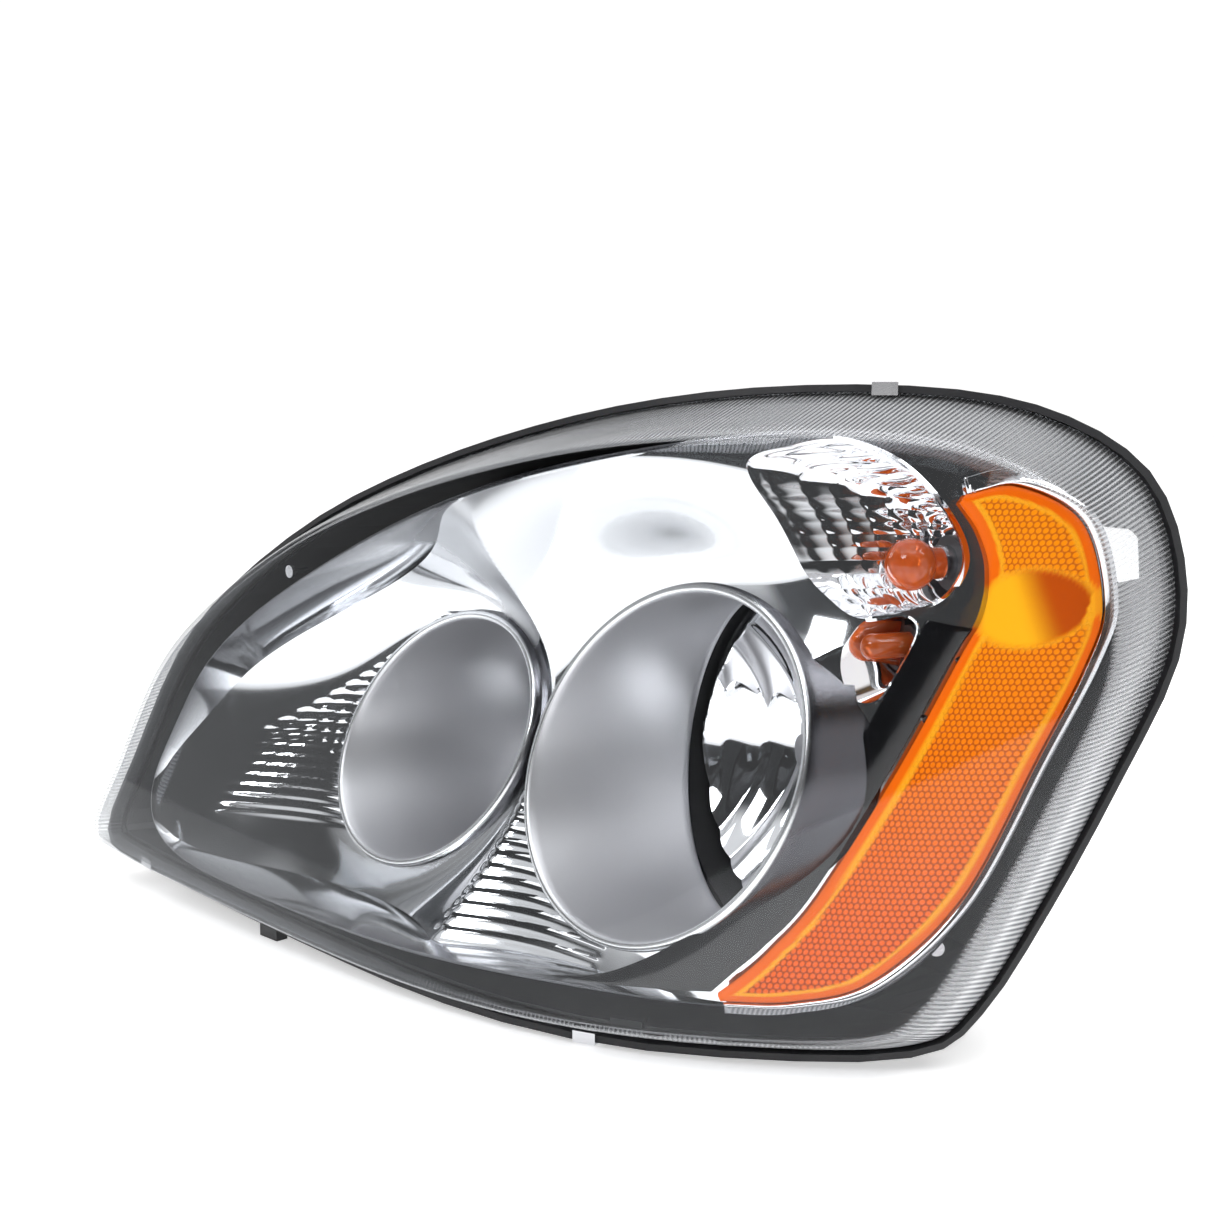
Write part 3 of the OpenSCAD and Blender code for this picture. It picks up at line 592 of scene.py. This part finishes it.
# flutes in the two scoops, and the satin patch between its two slanting edges
arcs, heights = arcAt(snapped[:, 0], bezel["depth"]), snapped[:, 2]
onFace = reachOf(arcs, heights, bezelCurve) < 0.995
slope = 92 + 1.1 * np.maximum(heights - 115, 0)
fluteHigh = smooth((255 - arcs) / 6) * smooth((arcs - slope) / 6)
fluteHigh = fluteHigh * smooth((heights - 60) / 5) * smooth((205 - heights) / 8)
fluteLow = smooth((arcs - 322) / 8) * smooth((446 - arcs) / 10)
fluteLow = fluteLow * smooth((heights - 30) / 6) * smooth((132 - heights) / 10)
fluteAndEdgeShade = np.maximum(fluteHigh, fluteLow) * onFace
snapped[:, 1] += fluteAndEdgeShade * bezel["fluteAndEdgeShade"] * np.abs(np.sin(np.pi * heights / bezel["fluteStep"]))
slantLeft = 203 + (273 - heights) * 0.49
slantRight = 401 + (309 - heights) * -0.94
satin = smooth((arcs - slantLeft) / 14) * smooth((slantRight - arcs) / 6)
satin = satin * smooth((heights - 176) / 20) * onFace
movePlaces(bezelPiece, snapped)
keepMask(bezelPiece, "satin", satin)
# painted shade: marks the turned-back edge outside the face for near-black colour
keepMask(bezelPiece, "shade", (~onFace) * 0.85)
cutFaces(bezelPiece, gone)
finishPiece(bezelPiece, paint["chrome"], "shell", wall=bezel["wall"], angle=35)
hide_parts("bezel")
print("bezel made")


def makeBarrel(name, beam, node):
    inner, wall = beam["r"], beam["wall"]
    rows = 40

    def place(u, v):
        angle = 2 * np.pi * u
        row = v * rows
        dx, dz = np.cos(angle), np.sin(angle)
        front = ringY(beam, inner * dx, inner * dz)
        rear = beam["rear"] + beam["tilt"] * inner * dz
        # rows 0-4 turned-out edge at the rear, 4-28 inner wall, 28-34 rounded lip, 34-40 outer wall
        r = inner + np.interp(row, (0, 3, 4, 28, 29.5, 31, 32.5, 34, 40),
                              (2.2, 1, 0, 0, 0.5, wall * 0.5 + 0.4, wall + 0.3, wall + 0.8, wall + 0.8))
        outside = faceY(beam["x"] + inner * dx, beam["z"] + inner * dz) + 5 - front
        back = np.maximum(26, outside)
        y = rear + np.interp(row, (0, 3, 4), (1.5, 1, 0))
        y = np.where(row <= 4, y, rear + (front - rear) * np.clip((row - 4) / 24, 0, 1))
        y = np.where(row <= 28, y, front + np.interp(row, (28, 29.5, 31, 32.5, 34), (0, -1.5, -2.1, -1.5, 0)))
        y = y + back * np.clip((row - 34) / 6, 0, 1)
        return np.stack([beam["x"] + r * dx, y, beam["z"] + r * dz], axis=-1)
    piece = laySheet(name, 240, rows, place)
    spots = places(piece)
    outwards = np.hypot(spots[:, 0] - beam["x"], spots[:, 2] - beam["z"]) - inner
    # painted highlight: mask of the rounded front lip, which is coloured lighter
    keepMask(piece, "lip", smooth((outwards - 0.3) / 0.8))
    # painted shade: mask of the outer wall, which is coloured near black
    keepMask(piece, "outer", smooth((outwards - wall - 0.4) / 0.4))
    finishPiece(piece, paint["satin"], "shell", wall=1.2, offset=-1, angle=50)
    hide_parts(node)
    return piece


makeBarrel("lowBarrel", low, "low_beam_barrel")
makeBarrel("highBarrel", high, "high_beam_barrel")


def makeReflector(name, beam, node, strip, puff, size):
    vertex = beam["rear"] + 6 + beam["r"] ** 2 / (4 * beam["focus"])

    def place(u, v):
        angle = 2 * np.pi * u
        r = 11.3 + (size - 11.3) * v
        dx, dz = r * np.cos(angle), r * np.sin(angle)
        y = vertex - (dx * dx + dz * dz) / (4 * beam["focus"])
        y = y - puff * np.abs(np.cos(np.pi * dx / strip)) * smooth(r / 40)
        # the rim ends flat, clear of the barrel
        y = np.maximum(y, beam["rear"] + 8.5 + beam["tilt"] * dz)
        return np.stack([beam["x"] + dx, y, beam["z"] + dz], axis=-1)
    piece = laySheet(name, 420, 90, place)
    finishPiece(piece, paint["mirror"], "aim_carrier", wall=2.0, offset=1, angle=22)
    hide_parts(node)


makeReflector("lowReflector", low, "low_beam_reflector", 15, 2.2, low["r"] - 2)
makeReflector("highReflector", high, "high_beam_reflector", 13, 1.6, high["r"] - 3)

# painted shade: dark collars put in the gap between each barrel and its reflector, where only shade falls
for name, beam in (("lowGapShade", low), ("highGapShade", high)):
    r, front, back = beam["r"] + 2.4, beam["rear"] - 8, beam["rear"] + 26
    piece = lathe(name, beam["x"], beam["z"], [(r, front), (r + 0.6, front), (r + 0.6, back), (r, back)], 160)
    finishPiece(piece, paint["shadow"], "shell", angle=40)
print("barrels and reflectors made")


def bowlPlace(spot, edge, facets):
    # a bowl from a bulb hole to its outline on the bezel, covered with small convex facets
    def place(u, v):
        angle = 2 * np.pi * u - np.pi
        limit = edge(angle)
        r = spot["hole"] + (limit - spot["hole"]) * v
        dx, dz = r * np.cos(angle), r * np.sin(angle)
        rim = bezelY(spot["x"] + limit * np.cos(angle), spot["z"] + limit * np.sin(angle))
        y = spot["vertex"] - (spot["vertex"] - rim) * v ** 2
        pillow = facets(dx, dz, v) * smooth((r - spot["hole"] - 1) / 5) * smooth((limit - r) / 2)
        return np.stack([spot["x"] + dx, y - pillow, spot["z"] + dz], axis=-1)
    return place


def dishFacets(dx, dz, v):
    # rings round the bulb, cut into level rows
    ring, row = turn["rings"] * v ** 1.15, (dz + 0.1 * dx) / turn["row"]
    return turn["puff"] * (1.5 * np.abs(np.cos(np.pi * ring)) + np.abs(np.cos(np.pi * row)))


dish = laySheet("turnDish", 460, 150, bowlPlace(turn, dishEdge, dishFacets))
finishPiece(dish, paint["mirror"], "shell", wall=1.4, offset=1, angle=20)
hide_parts("turn_reflector")


def pocketFacets(dx, dz, v):
    # six slices round the marker bulb
    return 0.9 * np.abs(np.cos(3 * np.arctan2(dz, dx)))


pocket = laySheet("markerPocket", 200, 60, bowlPlace(marker, pocketEdge, pocketFacets))
finishPiece(pocket, paint["mirror"], "shell", wall=1.2, offset=1, angle=25)
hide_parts("marker_reflector")
print("turn and marker made")

# side reflector, its black band and chrome edge, as points of arc length and height
side = {
    "outer": [[615, 291], [640, 295], [677, 278], [698, 238], [697, 209], [684, 163], [663, 93], [628, 51],
              [590, 39], [553, 37]],
    "inner": [[613, 287], [626, 273], [636, 255], [639, 233], [632, 210], [614, 153], [589, 90], [572, 64],
              [561, 51], [550, 41]],
    "bandLeft": [[612, 229], [600, 192], [588, 158], [562, 106], [528, 69], [488, 45], [450, 37]],
    "bandRight": [[636, 225], [629, 209], [611, 153], [586, 90], [568, 64], [556, 51], [546, 40]],
    "depth": 22, "crown": 3.0, "across": 36, "down": 170, "border": 6.5, "window": (662, 236)}
outerSide, innerSide = curveThrough(side["outer"], False), curveThrough(side["inner"], False)


def amberFlat(u, v):
    return innerSide(v) * (1 - u)[:, None] + outerSide(v) * u[:, None]


def amberPlace(u, v):
    flat = amberFlat(1 - u, v)
    crown = side["crown"] * (4 * u * (1 - u)) ** 0.5
    return behind(flat[:, 0], flat[:, 1], side["depth"] + 2 - crown)


amber = laySheet("sideReflector", side["across"], side["down"], amberPlace, merge=False)
flatMap = amber.data.uv_layers.new(name="flat")
columns, rows = side["across"] + 1, side["down"] + 1
u, v = np.tile(np.linspace(0, 1, columns), rows), np.repeat(np.linspace(0, 1, rows), columns)
spots = places(amber)
loops = np.empty(len(amber.data.loops), int)
amber.data.loops.foreach_get("vertex_index", loops)
arcs, heights = arcAt(spots[:, 0], side["depth"]), spots[:, 2]
flatMap.data.foreach_set("uv", (np.stack([arcs, heights], axis=-1)[loops] / 1000).ravel())
fromEdge = np.minimum(u, 1 - u) * np.linalg.norm(outerSide(v) - innerSide(v), axis=1)
fromEdge = np.minimum(fromEdge, np.minimum(v, 1 - v) * 330)
fromWindow = np.hypot((arcs - side["window"][0]) * 0.62, heights - side["window"][1])
windowHere = smooth((20 - fromWindow) / 3) * (arcs < 690)
keepMask(amber, "window", windowHere)
# painted light: mask of the part of the window that is coloured bright
keepMask(amber, "glow", smooth((678 - arcs - 0.6 * (heights - side["window"][1])) / 22))
keepMask(amber, "plain", np.maximum(smooth((side["border"] - fromEdge) / 1.5), windowHere))
borderLine = smooth((1.6 - np.abs(fromEdge - side["border"])) / 0.8) * (1 - windowHere)
keepMask(amber, "line", borderLine + 0.8 * smooth((1.6 - np.abs(fromWindow - 19)) / 0.8))
finishPiece(amber, paint["amber"], "shell", wall=5, offset=-1, bevel=0.8)
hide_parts("amber_reflector")


def strip(name, left, right, depth, crown, across, down, finish, slot, node, wall, bevel=0.4):
    leftCurve, rightCurve = curveThrough(left, False), curveThrough(right, False)

    def place(u, v):
        flat = rightCurve(v) * (1 - u)[:, None] + leftCurve(v) * u[:, None]
        return behind(flat[:, 0], flat[:, 1], depth - crown * 4 * u * (1 - u))
    piece = laySheet(name, across, down, place, merge=False)
    finishPiece(piece, finish, "shell", wall=wall, offset=-1, bevel=bevel)
    if node:
        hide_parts(node)
    return piece


def shifted(points, grow):
    middle = np.array(outline["middle"])
    return [list(middle + (np.array(p) - middle) * grow) for p in points]


band = strip("blackBand", side["bandLeft"], side["bandRight"], 27, 1.0, 14, 90, paint["gloss"],
             "gloss_black", "black_trim", 5)
# the band stops at the low beam's barrel
deselect()
bpy.ops.mesh.primitive_cylinder_add(vertices=200, radius=(low["r"] + low["wall"] + 1) / 1000, depth=0.6,
                                    location=(low["x"] / 1000, 0, low["z"] / 1000),
                                    rotation=(math.pi / 2, 0, 0))
cutter = bpy.context.active_object
trim = band.modifiers.new("barrel", "BOOLEAN")
trim.operation, trim.object = "DIFFERENCE", cutter
deselect()
band.select_set(True)
bpy.context.view_layer.objects.active = band
bpy.ops.object.modifier_apply(modifier=trim.name)
bpy.data.objects.remove(cutter)
strip("chromeEdge", shifted(side["outer"], 1.004), shifted(side["outer"], 1.024), 24, 1.5, 8, 120,
      paint["chrome"], "chrome_bezel", "chrome_trim", 8)
print("side reflector made")

# finishes of the CAD nodes that stay
stays = {
    "lens_seal": "rubber", "lens_clips": "steel", "housing": "black", "cap_collars": "black",
    "mounting_ears": "black", "mount_inserts": "brass", "rest_feet": "black", "bezel_screws": "steel",
    "reflector_carrier": "grey", "low_bulb_glass": "white", "low_bulb_base": "base",
    "low_bulb_shield": "steel", "high_bulb_glass": "white", "high_bulb_base": "base",
    "high_bulb_shield": "steel", "turn_bulb_glass": "bulb", "turn_bulb_base": "steel",
    "turn_socket": "grey", "turn_socket_seal": "silicone", "marker_bulb_glass": "bulb",
    "marker_socket": "grey", "marker_socket_seal": "silicone", "reflector_pegs": "peg",
    "pivot_studs": "steel", "adjuster_rod": "steel", "adjuster_knob": "nylon",
    "adjuster_bushing": "nylon", "low_cap": "black", "low_cap_seal": "rubber", "high_cap": "black",
    "high_cap_seal": "rubber", "vent_caps": "rubber", "connector_inlet": "grey",
    "connector_pins": "brass"}
for name, key in stays.items():
    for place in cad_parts[name].material_slots:
        place.material = paint[key]

# the floor, the room and the lights
studio = {"floor": 14, "white": 0.9, "lift": 0.5, "roomFrom": 0.42, "wallTop": 0.42, "ceiling": 0.75,
          "room": 0.05}
deselect()
bpy.ops.mesh.primitive_plane_add(size=studio["floor"], location=(0, 0, 0))
floor = bpy.context.active_object
floor.name = "floor"
paper = Finish("white paper")
white = paper.blend(paper.noise(0.4), shade(studio["white"]), shade(studio["white"] + 0.02))
floor.data.materials.append(paper.end(paper.node("ShaderNodeBsdfPrincipled", None, {
    "Base Color": white, "Roughness": 0.6, "Emission Color": shade(1), "Emission Strength": studio["lift"]})))


def softLight(name, place, aim, size, sizeY, power, tint=(1, 1, 1)):
    deselect()
    bpy.ops.object.light_add(type="AREA", location=place)
    lamp = bpy.context.active_object
    lamp.name = name
    lamp.data.shape, lamp.data.size, lamp.data.size_y = "RECTANGLE", size, sizeY
    lamp.data.energy, lamp.data.color = power, tint
    lamp.rotation_euler = (Vector(aim) - Vector(place)).to_track_quat("-Z", "Y").to_euler()


softLight("overhead", (0.1, -0.1, 2.4), (0, 0, 0.1), 2.6, 2.6, 46)
softLight("key", (1.2, -2.4, 2.3), (0, 0, 0.15), 1.2, 0.9, 30)
softLight("beside", (1.3, 1.5, 2.3), (0.1, 0, 0.15), 1.0, 1.0, 22)
world = bpy.data.worlds.new("studio")
bpy.context.scene.world = world
world.use_nodes = True
sky = world.node_tree
heading = sky.nodes.new("ShaderNodeTexCoord")
parts = sky.nodes.new("ShaderNodeSeparateXYZ")
sky.links.new(heading.outputs["Generated"], parts.inputs[0])
toX, toY, toZ = (Field(sky, parts.outputs[i]) for i in range(3))


def skyStep(value, low, high):
    # 0 below low, 1 above high
    step = sky.nodes.new("ShaderNodeMapRange")
    step.interpolation_type = "SMOOTHSTEP"
    sky.links.new(value.socket, step.inputs[0])
    step.inputs[1].default_value, step.inputs[2].default_value = low, high
    return Field(sky, step.outputs[0])


# a white wall behind and beside the lamp, a dark room in front of it, a pale ceiling
room = skyStep(toX * 0.72 - toY * 0.69, studio["roomFrom"], studio["roomFrom"] + 0.15)
inFront = skyStep(toY * -1, 0.3, 0.6)
wall = 1 - skyStep(toZ, studio["wallTop"], studio["wallTop"] + 0.1)
wall = wall * (1 - room) * (1 - inFront * (toZ * 1.0 + 0.42))
ceiling = skyStep(toZ, 0.62, 0.74) * studio["ceiling"]
sky.links.new((wall + ceiling + studio["room"]).socket, sky.nodes["Background"].inputs[0])
bpy.context.scene.view_settings.view_transform = "Standard"
print("stage set")
